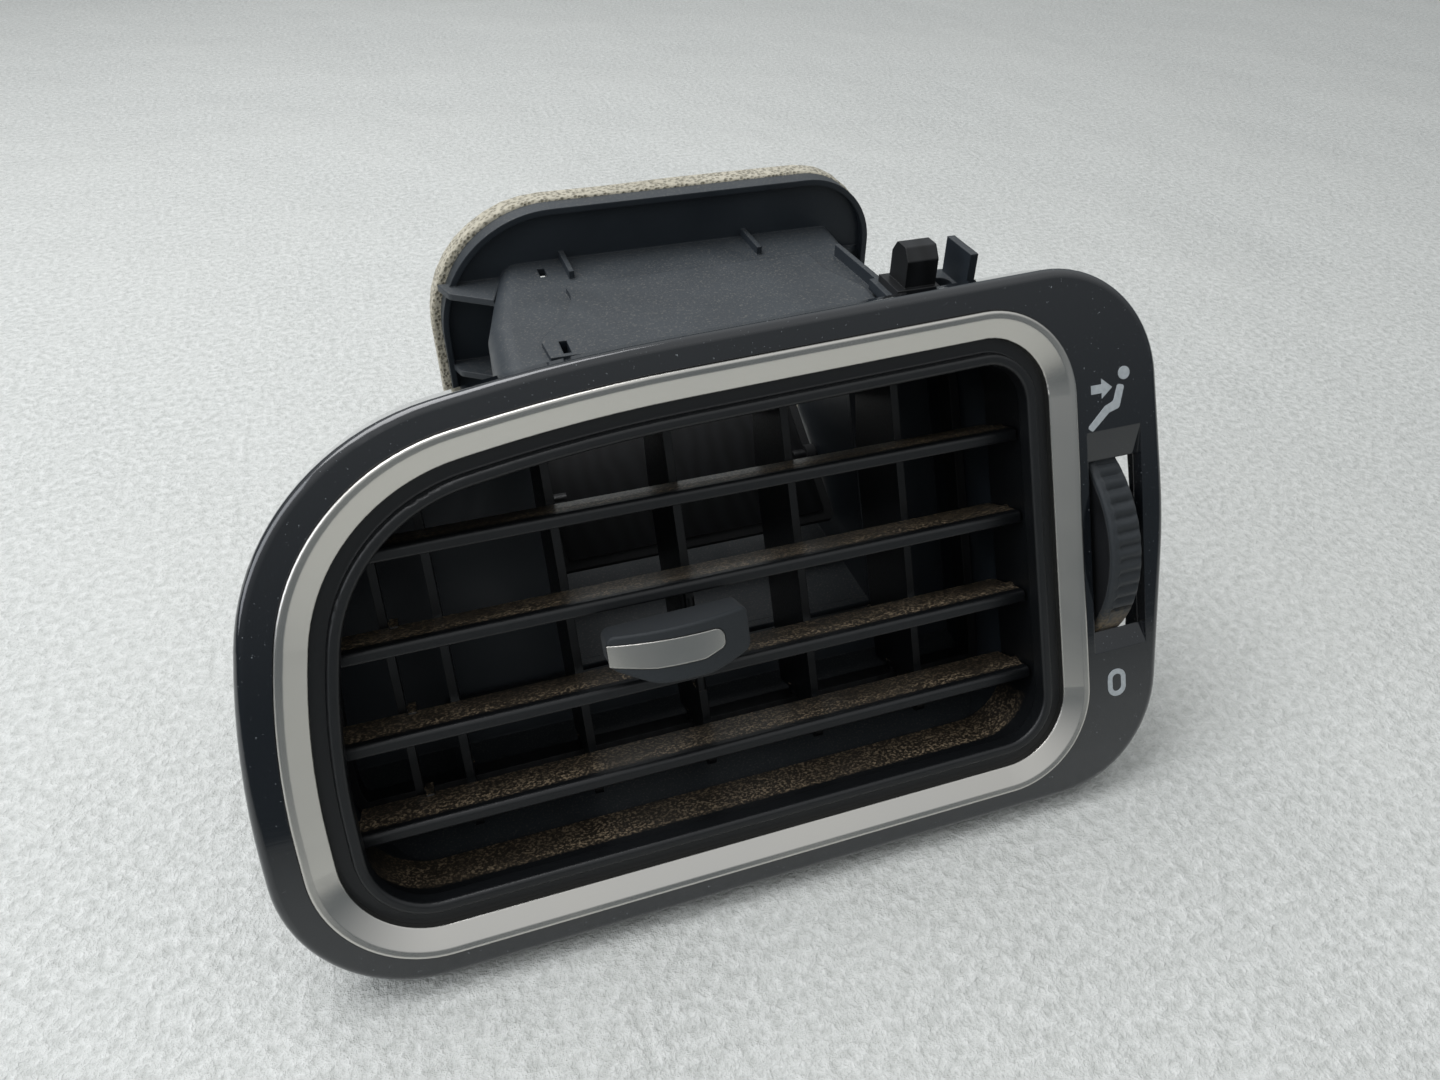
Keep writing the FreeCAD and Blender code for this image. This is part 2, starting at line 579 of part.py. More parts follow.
def make_vanes():
    """Four vanes with pivot pins at both ends and a link pin behind, and their tie bar."""
    half = size_of["vane_thick"] / 2.0
    depth = size_of["vane_depth"]
    tail = half * 0.5
    pivot, link_y = size_of["vane_pivot"], size_of["vane_link"]
    for number, (left, pin_end) in enumerate(VANE_LEFT_ENDS):
        level = vane_height(number)
        body = new_body(f"vane_{number + 1}", "face")
        section = [(0.0, level - half, 0.4), (5.0, level - half, 3.0), (depth, level - tail, 0.4),
                   (depth, level + tail, 0.4), (5.0, level + half, 3.0), (0.0, level + half, 0.9)]
        pad(body, "plate", "YZ_Plane", f"{left}", f"dims.vane_right - ({left})",
            [("round", section)])
        pad(body, "left_pin", "YZ_Plane", f"{pin_end}", f"{left - pin_end + 1.0}",
            [("circle", pivot, level, "dims.vane_pin")])
        pad(body, "right_pin", "YZ_Plane", "dims.vane_right - 1", "3.0",
            [("circle", pivot, level, "dims.vane_pin")])
        pad(body, "lug", "YZ_Plane", "dims.link_x + dims.link_wide + 0.3", "1.4",
            [("round", rectangle(depth - 2.0, level - tail, link_y + 1.1, level + 1.1, 0.3))])
        pad(body, "link_pin", "YZ_Plane", "dims.link_x", "dims.link_wide + 1.0",
            [("circle", link_y, level, "dims.link_pin")])
    bar = new_body("vane_tie_bar", "face")
    reach = vane_height(0) + 1.5
    loops = [("round", rectangle(link_y - 1.3, -reach, link_y + 1.3, reach, 1.2))]
    loops += [("circle", link_y, vane_height(number), "dims.link_pin + dims.pin_gap")
              for number in range(4)]
    pad(bar, "bar", "YZ_Plane", "dims.link_x", "dims.link_wide", loops)


# ---------------------------------------------------------------- knob

KNOB_LEVEL = -8.0


def nose_band(near, far):
    """The plan of the strip along the knob's front curve, between two depths behind it."""
    left, right = size_of["knob_left"] - 1.0, size_of["knob_right"] + 1.0
    front = size_of["knob_front"]
    middle = (left + right) / 2.0
    outer = [Vector(left, front + 3.6 + near, 0), Vector(middle, front + near, 0),
             Vector(right, front + 2.6 + near, 0)]
    inner = [Vector(left, front + 3.6 + far, 0), Vector(middle, front + far, 0),
             Vector(right, front + 2.6 + far, 0)]
    return [Part.Arc(*outer), Part.LineSegment(outer[2], inner[2]), Part.Arc(*reversed(inner)),
            Part.LineSegment(inner[0], outer[0])]


def make_knob():
    """Slider knob: a convex grip in front of the third vane, an arm over the vane with a hook
    behind it, and a fork that straddles the rod of the middle blade."""
    body = new_body("knob_body", "face")
    left, right = size_of["knob_left"], size_of["knob_right"]
    front, back = size_of["knob_front"], size_of["knob_back"]
    grip = [(left, -1.2, 2.5), (left + 7.5, -4.8, 9), (right - 7.5, -4.8, 9), (right, -2.6, 2),
            (right, 5.2, 1.2), (left, 4.6, 1.5)]
    pad(body, "grip", "XZ_Plane", "dims.knob_front", "dims.knob_back - dims.knob_front",
        [("round", grip)])
    middle = (left + right) / 2.0
    nose = nose_band(-8.0, 0.0)
    pocket(body, "nose", "XY_Plane", "-8", "16", [("arcs", nose)])
    half = size_of["vane_thick"] / 2.0 + 0.2
    low, high = KNOB_LEVEL - half, KNOB_LEVEL + half
    pad(body, "neck", "YZ_Plane", "-12", "8",
        [("round", [(back - 3.0, -3.2, 0), (-1.0, high + 0.1, 0.4), (7.0, high + 0.1, 0),
                    (7.0, high + 1.4, 0.5), (1.5, high + 1.4, 2.0), (back - 3.0, 2.0, 0)])])
    pad(body, "bridge", "XY_Plane", f"{high + 0.1}", "1.3",
        [("round", rectangle(-9.0, 6.0, -6.0, 13.2, 0))])
    pad(body, "hook", "YZ_Plane", "-9", "3",
        [("round", [(12.3, high + 0.5, 0), (12.3, low + 0.05, 0), (9.5, low + 0.05, 0.2),
                    (9.5, low - 0.75, 0.2), (13.2, low - 0.75, 0.6), (13.2, high + 0.5, 0)])])
    tine, reach = 1.3, 18.2
    arm_high = high + 1.4
    rod_gap = size_of["rod_radius"] + 0.25
    pad(body, "arm", "XY_Plane", f"{high + 0.1}", "1.3",
        [("round", [(-11.0, 5.5, 0), (-5.0, 5.5, 0), (2.6, 11.5, 0.5), (2.6, 13.2, 0.3),
                    (-2.6, 13.2, 0.3), (-11.0, 8.0, 0.5)])])
    for name, inner in (("tine_left", -rod_gap - tine), ("tine_right", rod_gap)):
        pad(body, name, "XY_Plane", f"{KNOB_LEVEL - 1.2}", f"{arm_high - KNOB_LEVEL + 1.2}",
            [("round", rectangle(inner, 12.3, inner + tine, reach, 0.3))])

    NODES.remove(body)
    body.Label = "knob_moulding"
    insert = [(left - 2.0, -0.6, 0), (left + 7.5, -1.9, 12), (-4.2, -1.9, 3), (-0.2, -0.6, 1.4),
              (-0.2, 3.0, 1.8), (left - 2.0, 3.2, 0)]
    depths = ("dims.knob_front - 1", "dims.knob_back")
    seat = slab("insert_seat_side", "face", insert, 0.0, *depths)
    plug = slab("insert_plug_side", "face", insert, 0.12, *depths)
    seat_zone = plan_slab("insert_seat_zone", None, "-4", "6", "face", nose_band(-8.0, 0.7))
    plug_zone = plan_slab("insert_plug_zone", None, "-4", "6", "face", nose_band(-0.1, 0.6))
    edge = block("insert_end", "face", ("dims.knob_left - 0.1", "-20", "-10"), ("10", "0", "10"))
    recess = common("insert_recess", seat, seat_zone)
    doc.recompute()
    to_face = Placement(Vector(size_of["face_x"], size_of["face_y"], size_of["face_z"]),
                        Rotation(Vector(1, 0, 0), -size_of["rake"])).inverse()
    nose_edges = []
    for number, line in enumerate(body.Shape.Edges, start=1):
        ends = [to_face.multVec(vertex.Point) for vertex in line.Vertexes]
        if all(end.y < front + 4.2 for end in ends) and line.Length > 3.0:
            nose_edges.append((number, 0.6, 0.6))
    softened = doc.addObject("Part::Fillet", "knob_softened")
    softened.Base = body
    softened.Edges = nose_edges
    keep(cut("knob_cut", softened, recess), "knob")
    keep(common("insert_solid", plug, plug_zone, edge), "knob_insert")


# ---------------------------------------------------------------- blades

BLADE_TOPS = ((31.5, 34.4), (36.2, 39.0), (38.2, 40.6), (38.2, 41.4), (38.2, 42.0))


def make_blades():
    """Five blades in a carrier frame behind the vanes, and their tie bar. The middle one has the
    rod that the knob's fork moves."""
    front, back = size_of["blade_front"], size_of["blade_back"]
    pivot, foot, link_y = size_of["blade_pivot"], size_of["blade_foot"], size_of["blade_link"]
    for number, (top_here, pin_top) in enumerate(BLADE_TOPS):
        across = (number - 2) * size_of["blade_pitch"]
        body = new_body(f"blade_{number + 1}", "face")
        left = f"{across} - dims.blade_thick / 2"
        shape = [(front, -34.5, 1.5), (pivot - 4.0, -31.0, 0), (pivot - 4.0, foot, 0),
                 (back, foot, 0.8), (back, 20.0, 2), (back - 3.5, top_here, 0.8),
                 (front, top_here, 1.5)]
        pad(body, "plate", "YZ_Plane", left, "dims.blade_thick", [("round", shape)])
        pad(body, "top_pin", "XY_Plane", f"{top_here} - 1", f"{pin_top} - {top_here} + 1",
            [("circle", across, pivot, "dims.blade_pin")])
        pad(body, "foot_pin", "XY_Plane", "dims.rail_foot - 1.4", "3.4",
            [("circle", across, pivot, "dims.blade_pin")])
        pad(body, "link_lug", "YZ_Plane", left, "dims.blade_thick",
            [("round", rectangle(back - 1.0, -20.4, link_y + 0.9, -18.2, 0.4))])
        pad(body, "link_pin", "XY_Plane", "-19", "3.0", [("circle", across, link_y, "0.7")])
        if number == 2:
            pocket(body, "window", "YZ_Plane", f"{left} - 1", "dims.blade_thick + 2",
                   [("round", rectangle(front - 1.0, -17.5, 19.2, 1.5, 0.4))])
            pad(body, "rod", "XY_Plane", "-18.5", "21",
                [("circle", across, size_of["rod_y"], "dims.rod_radius")])
    bar = new_body("blade_tie_bar", "face")
    span = 2.0 * size_of["blade_pitch"] + 2.5
    loops = [("round", rectangle(-span, link_y - 1.0, span, link_y + 1.0, 0.95))]
    loops += [("circle", (number - 2) * size_of["blade_pitch"], link_y, "0.8")
              for number in range(5)]
    pad(bar, "bar", "XY_Plane", "dims.blade_link_z", "1.6", loops)

    # carrier: a hoop that follows the vane box, closed below by a straight rail
    hoop = slab("carrier_hoop", "face", RING_CORNERS, 5.3, "24", "29")
    hole = slab("carrier_hole", "face", RING_CORNERS, 7.3, "23", "30")
    rail_low = "dims.rail_foot - dims.rail_thick"
    above = block("carrier_above", "face", ("-100", "20", rail_low), ("100", "40", "60"))
    window = block("carrier_window", "face", ("-100", "20", "dims.rail_foot"), ("100", "40", "60"))
    ring = cut("carrier_ring", common("carrier_block", hoop, above),
               common("carrier_opening", hole, window))
    holes = [rod(f"carrier_hole_{number}", "face", "dims.blade_pin + dims.pin_gap",
                 (f"{number - 2} * dims.blade_pitch", "dims.blade_pivot", "-33"), "90", "z")
             for number in range(5)]
    keep(cut("blade_carrier", ring, join("carrier_holes", *holes)), "blade_carrier")


# ---------------------------------------------------------------- thumbwheel and link rod

WHEEL_FIRST, WHEEL_LAST = 58.0, 252.0
RIB_START = 207.0          # face-frame angle of the first tread rib, degrees
REST_CRANK = -139.2        # duct-frame angle of the rod cranks with the flaps flat, degrees
FLAP_LEVELS = (21.2, -13.2)
LINK_CRANK = -40.0         # duct-frame angle of the flap link cranks with the flaps flat


def make_wheel():
    """Thumbwheel: a web and hub with a rim sector, a soft ribbed tread on it, its axle and the
    washer that keeps it on."""
    centre = (size_of["wheel_y"], size_of["wheel_z"])
    left, width = "dims.wheel_left", "dims.wheel_width"
    rim = size_of["wheel_radius"] - size_of["tread_thick"]
    hub = new_body("thumbwheel_hub", "face")
    pad(hub, "rim", "YZ_Plane", left, width,
        [("arcs", sector(centre, rim - 2.5, rim, WHEEL_FIRST, WHEEL_LAST))])
    pad(hub, "web", "YZ_Plane", left, "2",
        [("arcs", sector(centre, 3.0, rim - 1.0, WHEEL_FIRST, WHEEL_LAST))])
    pad(hub, "boss", "YZ_Plane", left, width, [("circle", *centre, "5")])
    crank = math.radians(REST_CRANK + size_of["flap_rest"] + size_of["rake"])
    pin = (centre[0] + size_of["wheel_crank"] * math.cos(crank),
           centre[1] + size_of["wheel_crank"] * math.sin(crank))
    pad(hub, "crank", "YZ_Plane", left, "2.4", [("arcs", eye_bar(centre, pin, 3.2))])
    pad(hub, "crank_pin", "YZ_Plane", f"{left} - 3.2", "4.2", [("circle", *pin, "dims.wheel_pin")])
    pocket(hub, "bore", "YZ_Plane", f"{left} - 0.5", f"{width} + 1",
           [("circle", *centre, "dims.axle_radius + dims.pin_gap")])

    tread = new_body("thumbwheel_tread", "face")
    radius = size_of["wheel_radius"]
    pad(tread, "band", "YZ_Plane", left, width,
        [("arcs", sector(centre, rim, radius, WHEEL_FIRST, WHEEL_LAST))])
    rib_count = 22
    ribs = []
    for number in range(rib_count):
        angle = RIB_START - number * size_of["rib_step"]
        half = 1.7
        ribs.append(("arcs", sector(centre, radius - 0.3, radius + 0.45, angle - half,
                                    angle + half)))
    pad(tread, "ribs", "YZ_Plane", f"{left} + 1.2", f"{width} - 1.5", ribs)

    axle = new_body("wheel_axle", "face")
    pad(axle, "shaft", "YZ_Plane", "69", f"{left} - 69 + {width} + 1.6",
        [("circle", *centre, "dims.axle_radius")])
    washer = new_body("axle_washer", "face")
    pad(washer, "disc", "YZ_Plane", f"{left} + {width} + 0.3", "0.8",
        [("circle", *centre, "3.6"), ("circle", *centre, "dims.axle_radius")])


def wheel_axis_in_duct():
    """The wheel's axis seen in the duct frame."""
    lean = math.radians(size_of["rake"])
    y, z = size_of["wheel_y"], size_of["wheel_z"]
    return y * math.cos(lean) + z * math.sin(lean), z * math.cos(lean) - y * math.sin(lean)


def crank_point(centre, radius, degrees):
    angle = math.radians(degrees)
    return centre[0] + radius * math.cos(angle), centre[1] + radius * math.sin(angle)


def make_link_rod():
    """Cranked rod from the wheel to the lower flap, beside the housing."""
    crank, angle = size_of["wheel_crank"], REST_CRANK + size_of["flap_rest"]
    start = crank_point(wheel_axis_in_duct(), crank, angle)
    end = crank_point((size_of["flap_y"], FLAP_LEVELS[1]), crank, angle)
    near, far, thick, half = 70.6, 55.6, 1.9, 2.0
    body = new_body("link_rod", "duct")
    for name, left, point in (("wheel_eye", near, start), ("flap_eye", far, end)):
        pad(body, name, "YZ_Plane", f"{left}", f"{thick}",
            [("circle", *point, "3.1"), ("circle", *point, "dims.wheel_pin + dims.pin_gap")])
    length = math.hypot(end[0] - start[0], end[1] - start[1])
    drop = (end[1] - start[1]) / (end[0] - start[0])
    bend_1, bend_2 = start[0] + 36.5 * (end[0] - start[0]) / length, end[0] - 6.5
    plan = [(near, start[0] + 2.6, 0), (near + thick, start[0] + 2.6, 0),
            (near + thick, bend_1, 0.8), (far + thick, bend_2, 0.8), (far + thick, end[0] - 2.6, 0),
            (far, end[0] - 2.6, 0), (far, bend_2 - 1.0, 0.8), (near, bend_1 - 1.0, 0.8)]
    strip = plan_slab("rod_plan", plan, f"{start[1] - 14.0}", f"{start[1] + 6.0}")
    side = [(start[0] + 2.0, start[1] + drop * 2.0 - half, 0),
            (end[0] - 2.0, end[1] - drop * 2.0 - half, 0),
            (end[0] - 2.0, end[1] - drop * 2.0 + half, 0),
            (start[0] + 2.0, start[1] + drop * 2.0 + half, 0)]
    tall = doc.addObject("Sketcher::SketchObject", "rod_side_sketch")
    fill_sketch(tall, [("round", side)])
    tall.Placement = Placement(Vector(50, 0, 0), Rotation(Vector(1, 1, 1), 120))
    wide = doc.addObject("Part::Extrusion", "rod_side")
    wide.Base = tall
    wide.DirMode = "Normal"
    wide.Solid = True
    wide.LengthFwd = 30.0
    wide_set = doc.addObject("Part::Compound", "rod_side_set")
    wide_set.Links = [wide]
    place(wide_set, "duct")
    middle = common("rod_middle", strip, wide_set)
    NODES.remove(body)
    body.Label = "link_rod_eyes"
    keep(join("link_rod_solid", body, middle), "link_rod")


# ---------------------------------------------------------------- shut-off flaps

def hang(body, level):
    """Moves a body drawn round a flap's shaft to that shaft, turned by the rest angle."""
    place(body, "duct", size_of["flap_rest"])
    bind(body, Placement__Base__y="dims.face_y + dims.flap_y",
         Placement__Base__z=f"dims.face_z + {level}",
         Placement__Rotation__Angle="dims.flap_rest")


def make_flaps():
    """Two flaps on shafts across the duct, a soft lip round each, and the link between them. A
    flap and its lip are drawn lying flat, round their shaft."""
    half_chord = size_of["flap_chord"] / 2.0
    lip = 2.2
    gap = size_of["flap_side_gap"]
    left, right = size_of["duct_left"] + gap, size_of["duct_right"] - gap
    axis = (0.0, 0.0)
    for name, level in zip(("upper", "lower"), FLAP_LEVELS):
        body = new_body(f"damper_flap_{name}", "duct")
        inner = rectangle(left + lip, lip - half_chord, right - lip, half_chord - lip, 1.0)
        pad(body, "plate", "XY_Plane", "-dims.flap_thick / 2", "dims.flap_thick",
            [("round", inner)])
        pad(body, "left_shaft", "YZ_Plane", "-22.2", f"{left + lip + 3.0 + 22.2}",
            [("circle", *axis, "dims.flap_shaft")])
        pad(body, "right_shaft", "YZ_Plane", f"{right - lip - 3.0}", f"{52.4 - right + lip + 3.0}",
            [("circle", *axis, "dims.flap_shaft")])
        link_pin = crank_point(axis, size_of["flap_crank"], LINK_CRANK)
        pad(body, "link_arm", "YZ_Plane", "50.6", "1.8", [("arcs", eye_bar(axis, link_pin, 2.6))])
        pad(body, "link_pin", "YZ_Plane", "51.4", "3.8", [("circle", *link_pin, "dims.flap_pin")])
        if name == "lower":
            rod_pin = crank_point(axis, size_of["wheel_crank"], REST_CRANK)
            pad(body, "rod_arm", "YZ_Plane", "50.6", "1.8",
                [("arcs", eye_bar(axis, rod_pin, 2.6))])
            pad(body, "rod_pin", "YZ_Plane", "51.4", "6.6",
                [("circle", *rod_pin, "dims.wheel_pin")])
        hang(body, level)
        seal = new_body(f"damper_seal_{name}", "duct")
        outer = rectangle(left, -half_chord, right, half_chord, 1.5)
        pad(seal, "lip", "XY_Plane", "-0.7", "1.4", [("round", outer), ("round", inner)])
        for side, start in (("left", left), ("right", right - lip)):
            pad(seal, f"{side}_collar", "YZ_Plane", f"{start}", f"{lip}",
                [("circle", *axis, "3.0")])
        shaft_cut = size_of["flap_shaft"] + 0.05
        pocket(seal, "shaft_gap", "YZ_Plane", f"{left - 1}", f"{right - left + 2}",
               [("circle", *axis, f"{shaft_cut}")])
        hang(seal, level)
    link = new_body("flap_link", "duct")
    ends = [crank_point((size_of["flap_y"], level), size_of["flap_crank"],
                        LINK_CRANK + size_of["flap_rest"]) for level in FLAP_LEVELS]
    pad(link, "bar", "YZ_Plane", "52.8", "2",
        [("arcs", eye_bar(*ends, 2.4)),
         ("circle", *ends[0], "dims.flap_pin + dims.pin_gap"),
         ("circle", *ends[1], "dims.flap_pin + dims.pin_gap")])


make_bezel()
make_ring()
make_vane_frame()
make_marks()
make_housing()
make_clip_and_screws()
make_vanes()
make_knob()
make_blades()
make_wheel()
make_link_rod()
make_flaps()
doc.recompute()

failed = [item.Label for item in doc.Objects if {"Invalid", "Error"} & set(item.State)]
if failed:
    raise RuntimeError(f"objects failed: {failed}")
for node in NODES:
    if node.Shape.isNull() or not node.Shape.isValid() or not node.Shape.Solids:
        raise RuntimeError(f"{node.Label} has no valid shape")

os.makedirs("parts", exist_ok=True)
for node in NODES:
    node.Shape.exportStep(f"parts/{node.Label}.step")
whole = Part.makeCompound([node.Shape for node in NODES])
print(f"{len(NODES)} sub-parts, solids {[len(node.Shape.Solids) for node in NODES]}")
print(f"whole part {whole.optimalBoundingBox()}")
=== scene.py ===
import json
import math

import bmesh
import bpy
from mathutils import Matrix, Vector, noise


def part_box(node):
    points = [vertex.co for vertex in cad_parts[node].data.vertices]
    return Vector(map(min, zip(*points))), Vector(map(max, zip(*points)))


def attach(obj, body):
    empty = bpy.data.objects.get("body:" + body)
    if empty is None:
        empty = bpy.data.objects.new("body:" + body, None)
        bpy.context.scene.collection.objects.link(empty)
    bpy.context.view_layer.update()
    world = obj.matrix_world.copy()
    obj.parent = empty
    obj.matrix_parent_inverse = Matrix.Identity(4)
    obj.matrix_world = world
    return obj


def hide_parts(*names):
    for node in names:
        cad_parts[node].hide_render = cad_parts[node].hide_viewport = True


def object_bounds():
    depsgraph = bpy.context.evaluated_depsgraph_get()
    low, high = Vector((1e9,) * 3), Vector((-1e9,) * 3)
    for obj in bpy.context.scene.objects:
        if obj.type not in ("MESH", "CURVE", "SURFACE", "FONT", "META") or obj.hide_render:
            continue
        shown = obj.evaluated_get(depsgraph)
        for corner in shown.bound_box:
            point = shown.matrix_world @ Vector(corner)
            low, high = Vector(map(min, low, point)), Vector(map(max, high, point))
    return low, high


# Dashboard air vent, lying on pale packing foam under soft light. Lengths are metres; MM turns
# millimetres into them.

MM = 0.001
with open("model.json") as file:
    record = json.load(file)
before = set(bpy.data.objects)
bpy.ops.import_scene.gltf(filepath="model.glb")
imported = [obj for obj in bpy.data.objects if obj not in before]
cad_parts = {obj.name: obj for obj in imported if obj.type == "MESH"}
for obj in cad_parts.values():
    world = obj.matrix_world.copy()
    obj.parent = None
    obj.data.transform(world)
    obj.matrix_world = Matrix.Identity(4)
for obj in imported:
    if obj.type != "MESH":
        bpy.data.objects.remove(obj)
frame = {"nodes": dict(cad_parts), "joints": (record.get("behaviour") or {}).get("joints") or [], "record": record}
cad_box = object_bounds()
joints = {joint["name"]: joint for joint in frame["joints"]}

# The face leans back from the duct: its own up and inward directions, and a point on its front.
FACE_UP = Vector(joints["blade_3_swing"]["axis"])
FACE_IN = FACE_UP.cross(Vector((1, 0, 0)))
FACE_POINT = Vector(joints["vane_3_tilt"]["pos_m"]) - FACE_IN * 6 * MM


# ---------------------------------------------------------------- materials

def colour(code):
    """An sRGB hex colour as linear RGBA."""
    parts = [int(code[i:i + 2], 16) / 255 for i in (0, 2, 4)]
    return [p / 12.92 if p <= 0.04045 else ((p + 0.055) / 1.055) ** 2.4 for p in parts] + [1.0]


def add(tree, kind, inputs=None, **settings):
    """Adds a node. Inputs are values or other nodes' output sockets, by name or number."""
    made = tree.nodes.new(kind)
    for name, value in settings.items():
        setattr(made, name, value)
    for name, value in (inputs or {}).items():
        socket = made.inputs[name]
        if isinstance(value, bpy.types.NodeSocket):
            tree.links.new(value, socket)
        else:
            socket.default_value = value
    return made


def material(name, base, roughness, metallic=0.0, **sockets):
    """A material with one Principled shader; returns it, its tree, its shader and its object
    coordinates."""
    made = bpy.data.materials.new(name)
    made.use_nodes = True
    tree = made.node_tree
    tree.nodes.clear()
    shader = add(tree, "ShaderNodeBsdfPrincipled",
                 {"Base Color": colour(base), "Roughness": roughness, "Metallic": metallic})
    for socket, value in sockets.items():
        shader.inputs[socket.replace("_", " ")].default_value = value
    add(tree, "ShaderNodeOutputMaterial", {"Surface": shader.outputs[0]})
    place = add(tree, "ShaderNodeTexCoord")
    return made, tree, shader, place


def speckle(tree, place, size, low, high):
    """Grains about `size` across: 1 in a grain, 0 between."""
    grain = add(tree, "ShaderNodeTexNoise", {"Vector": place.outputs["Object"], "Scale": 0.5 / size,
                                             "Detail": 2.0, "Roughness": 0.7})
    return add(tree, "ShaderNodeMapRange", {"Value": grain.outputs["Fac"], "From Min": low,
                                            "From Max": high}).outputs["Result"]


def product(tree, first, second):
    """The product of two values or sockets."""
    return add(tree, "ShaderNodeMath", {0: first, 1: second}, operation="MULTIPLY").outputs[0]


def along(tree, place, direction, start, end, output="Object", origin=None):
    """0 to 1 as a point moves from start to end along a direction."""
    value = add(tree, "ShaderNodeVectorMath", {0: place.outputs[output], 1: direction},
                operation="DOT_PRODUCT").outputs["Value"]
    shift = direction.dot(origin) if origin else 0.0
    return add(tree, "ShaderNodeMapRange", {"Value": value, "From Min": shift + start,
                                            "From Max": shift + end}).outputs["Result"]


def blend(tree, share, first, second):
    """Mixes two colours by a share."""
    return add(tree, "ShaderNodeMix", {0: share, 6: first, 7: second},
               data_type="RGBA").outputs[2]


def relief(tree, shader, height, depth, edge=0.25 * MM):
    """Rounds hard edges by `edge` and adds a bump of `depth` from a height of 0 to 1."""
    soft = add(tree, "ShaderNodeBevel", {"Radius": edge}, samples=4)
    bump = add(tree, "ShaderNodeBump", {"Height": height, "Distance": depth, "Strength": 1.0,
                                        "Normal": soft.outputs[0]})
    tree.links.new(bump.outputs[0], shader.inputs["Normal"])


def make_gloss_abs():
    """Piano-black ABS under a clear lacquer: a mirror that shows fine hair scratches and settled
    dust, with a few rubbed orange-brown marks at its edges."""
    black = "101419"
    made, tree, shader, place = material("gloss_black_abs", black, 0.06, IOR=1.53,
                                         Coat_Weight=0.8, Coat_Roughness=0.06)
    hair = add(tree, "ShaderNodeTexNoise", {
        "Vector": add(tree, "ShaderNodeMapping", {"Vector": place.outputs["Object"],
                                                  "Rotation": (0.3, 0.2, 0.5),
                                                  "Scale": (150.0, 2600.0, 2600.0)}).outputs[0],
        "Scale": 1.0, "Detail": 3.0})
    haze = add(tree, "ShaderNodeTexNoise", {"Vector": place.outputs["Object"], "Scale": 45.0,
                                            "Detail": 4.0})
    worn = product(tree, hair.outputs["Fac"], haze.outputs["Fac"])
    rough = add(tree, "ShaderNodeMapRange", {"Value": worn, "From Min": 0.15, "From Max": 0.45,
                                             "To Min": 0.035, "To Max": 0.15})
    dust = speckle(tree, place, 0.28 * MM, 0.70, 0.76)
    tint = blend(tree, product(tree, dust, 0.55), colour(black), colour("aab0b4"))
    for point, size in scuffs():
        near = add(tree, "ShaderNodeVectorMath", {0: place.outputs["Object"], 1: point},
                   operation="DISTANCE").outputs["Value"]
        spot = add(tree, "ShaderNodeMapRange", {"Value": near, "From Min": size, "From Max": 0.0})
        scratch = add(tree, "ShaderNodeMapRange", {"Value": hair.outputs["Fac"], "From Min": 0.52,
                                                   "From Max": 0.66})
        tint = blend(tree, product(tree, spot.outputs["Result"], scratch.outputs["Result"]), tint,
                     colour("b5713c"))
    tree.links.new(tint, shader.inputs["Base Color"])
    tree.links.new(rough.outputs["Result"], shader.inputs["Roughness"])
    relief(tree, shader, hair.outputs["Fac"], 0.0012 * MM, 0.35 * MM)
    return made


def scuffs():
    """Where the cover has been rubbed: its left edge and the upper end of the wheel slot."""
    low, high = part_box("front_bezel")
    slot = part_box("thumbwheel_tread")
    middle = (low + high) / 2
    left = Vector((low.x + 1 * MM, middle.y - 3 * MM, middle.z + 12 * MM))
    above = Vector((slot[0].x, low.y, slot[1].z)) + FACE_IN * 18 * MM + FACE_UP * 12 * MM
    return [(left, 3.5 * MM), (above, 5 * MM), (above + Vector((11 * MM, 0, 0)), 5 * MM)]


def make_satin_plate():
    """Satin silver plate on ABS: a soft metal sheen, with very fine grain from the matt plating
    bath and slow changes of tone."""
    made, tree, shader, place = material("satin_silver_plate", "cfccc6", 0.2, metallic=1.0)
    grain = add(tree, "ShaderNodeTexNoise", {"Vector": place.outputs["Object"],
                                             "Scale": 1 / (0.25 * MM), "Detail": 2.0})
    slow = add(tree, "ShaderNodeTexNoise", {"Vector": place.outputs["Object"], "Scale": 30.0,
                                            "Detail": 3.0})
    rough = add(tree, "ShaderNodeMapRange", {"Value": slow.outputs["Fac"], "From Min": 0.3,
                                             "From Max": 0.7, "To Min": 0.17, "To Max": 0.27})
    tint = blend(tree, slow.outputs["Fac"], colour("c9c7c3"), colour("d8d4cc"))
    tree.links.new(tint, shader.inputs["Base Color"])
    tree.links.new(rough.outputs["Result"], shader.inputs["Roughness"])
    relief(tree, shader, grain.outputs["Fac"], 0.002 * MM, 0.3 * MM)
    return made


